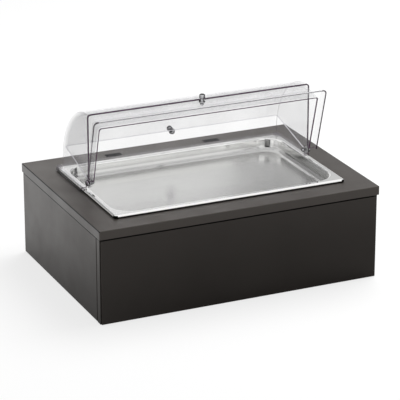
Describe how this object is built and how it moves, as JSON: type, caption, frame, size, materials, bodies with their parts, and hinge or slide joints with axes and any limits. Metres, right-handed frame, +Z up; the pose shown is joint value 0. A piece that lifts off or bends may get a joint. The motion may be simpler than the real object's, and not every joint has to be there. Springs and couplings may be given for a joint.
{
  "type": "heated buffet dome",
  "caption": "Dark countertop box with an electrically heated well, a full-size gastronorm pan in its lid and a clear roll-top cover whose front shell rolls back inside the rear one.",
  "frame": {"origin": "on the floor under the middle of the lid", "axes": "+X along the long side, +Y towards the back where the controls are, +Z up"},
  "size_m": [0.64, 0.45, 0.3949],
  "materials": {
    "wood_lacquer": "satin",
    "lid_lacquer": "satin",
    "raw_board": "matt",
    "insert_rubber": "matt",
    "feet_rubber": "matt",
    "zinc_steel": "satin",
    "well_steel": "satin",
    "silicone": "matt",
    "mineral_mat": "matt",
    "black_plastic": "matt",
    "ceramic": "matt",
    "housing_paint": "satin",
    "pin_brass": "polished",
    "rocker_plastic": "gloss",
    "pan_steel": "polished",
    "clear_plastic": "clear gloss",
    "chrome": "polished",
    "washer_plastic": "matt"
  },
  "bodies": {
    "box": {"front_panel": "wood_lacquer", "left_panel": "wood_lacquer", "right_panel": "wood_lacquer", "rear_panel": "wood_lacquer", "base_panel": "raw_board", "corner_blocks": "raw_board", "lid_cleats": "raw_board", "lid": "lid_lacquer", "lid_inserts": "insert_rubber", "rubber_feet": "feet_rubber", "base_screws": "zinc_steel", "lid_screws": "zinc_steel", "well_liner": "well_steel", "heater_foil": "silicone", "insulation_mat": "mineral_mat", "heat_shield_tray": "zinc_steel", "tray_screws": "zinc_steel", "safety_cutout": "black_plastic", "temperature_probe": "well_steel", "terminal_block": "ceramic", "control_housing": "housing_paint", "housing_screws": "zinc_steel", "mains_inlet": "black_plastic", "inlet_pins": "pin_brass", "switch_frame": "black_plastic", "regulator": "ceramic"},
    "rocker": {"switch_rocker": "rocker_plastic"},
    "dial": {"dial_shaft": "zinc_steel", "heat_dial": "black_plastic"},
    "pan": {"gn_pan": "pan_steel"},
    "rear_shell": {"rear_cover": "clear_plastic", "rear_knob": "chrome", "rear_knob_screw": "chrome", "hinge_pins": "chrome", "cap_nuts": "chrome", "hinge_washers": "washer_plastic"},
    "front_shell": {"front_cover": "clear_plastic", "front_knob": "chrome", "front_knob_screw": "chrome"}
  },
  "joints": [
    {"name": "pan_lift", "type": "slide", "parent": "box", "child": "pan", "axis": [0, 0, 1], "range_m": [0, 0.12]},
    {"name": "cover_lift", "type": "slide", "parent": "pan", "child": "rear_shell", "axis": [0, 0, 1], "range_m": [0, 0.15]},
    {"name": "front_shell_roll", "type": "hinge", "parent": "rear_shell", "child": "front_shell", "pos_m": [0, -0.01, 0.23], "axis": [1, 0, 0], "range_deg": [0, 74]},
    {"name": "switch_rock", "type": "hinge", "parent": "box", "child": "rocker", "pos_m": [0.176, 0.2013, 0.095], "axis": [1, 0, 0], "range_deg": [0, 16]},
    {"name": "dial_turn", "type": "hinge", "parent": "box", "child": "dial", "pos_m": [0.12, 0.2013, 0.095], "axis": [0, -1, 0], "range_deg": [0, 270]}
  ]
}
